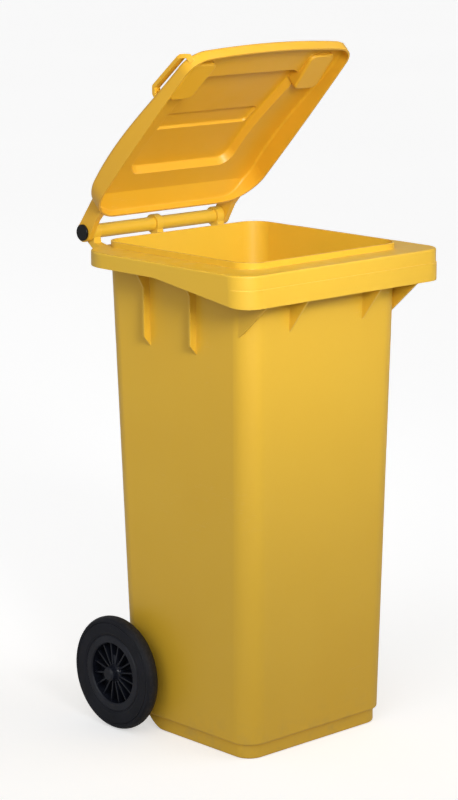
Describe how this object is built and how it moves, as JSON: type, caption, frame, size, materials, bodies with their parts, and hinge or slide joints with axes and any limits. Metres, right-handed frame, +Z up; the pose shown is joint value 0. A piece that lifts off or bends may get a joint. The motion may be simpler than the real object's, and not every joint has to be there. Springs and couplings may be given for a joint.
{
  "type": "wheelie bin",
  "caption": "Two-wheeled household waste bin with a tapered tub, wide comb rim, hinged domed lid with loop grips, handle tube and spoked rubber-tyred wheels.",
  "frame": {"origin": "on the floor, at the bottom centre of the bounding box", "axes": "-Y is the front, +Y the handle and wheel side, +X the right seen from the front, +Z up"},
  "size_m": [0.48, 0.507, 1.2117],
  "materials": {
    "yellow_body": "fine-textured moulded polyethylene",
    "yellow_lid": "satin moulded polyethylene",
    "black_plastic": "satin moulded black plastic",
    "wheel_centre": "satin moulded black plastic",
    "tyre": "moulded solid rubber",
    "steel": "zinc-plated"
  },
  "bodies": {
    "container": {"container": "yellow_body", "handle_tube": "yellow_body", "hinge_pin_left": "black_plastic", "hinge_pin_right": "black_plastic", "axle": "steel", "axle_washer_left": "black_plastic", "axle_washer_right": "black_plastic"},
    "lid": {"lid": "yellow_lid"},
    "wheel_left": {"wheel_rim_left": "wheel_centre", "tyre_left": "tyre", "lock_spring_left": "steel"},
    "lock_pin_left": {"lock_pin_left": "steel"},
    "wheel_right": {"wheel_rim_right": "wheel_centre", "tyre_right": "tyre", "lock_spring_right": "steel"},
    "lock_pin_right": {"lock_pin_right": "steel"}
  },
  "joints": [
    {"name": "lid_hinge", "type": "hinge", "parent": "container", "child": "lid", "pos_m": [0, 0.2365, 0.871], "axis": [-1, 0, 0], "range_deg": [-46.9, 222.9]},
    {"name": "wheel_left_spin", "type": "hinge", "parent": "container", "child": "wheel_left", "pos_m": [0, 0.1095, 0.102], "axis": [1, 0, 0], "continuous": true},
    {"name": "wheel_right_spin", "type": "hinge", "parent": "container", "child": "wheel_right", "pos_m": [0, 0.1095, 0.102], "axis": [1, 0, 0], "continuous": true},
    {"name": "lock_pin_left_slide", "type": "slide", "parent": "wheel_left", "child": "lock_pin_left", "axis": [0, 0, 1], "range_m": [0, 0.0022], "stiffness_N_per_m": 500, "deforming": ["lock_spring_left"]},
    {"name": "lock_pin_right_slide", "type": "slide", "parent": "wheel_right", "child": "lock_pin_right", "axis": [0, 0, 1], "range_m": [0, 0.0022], "stiffness_N_per_m": 500, "deforming": ["lock_spring_right"]}
  ]
}
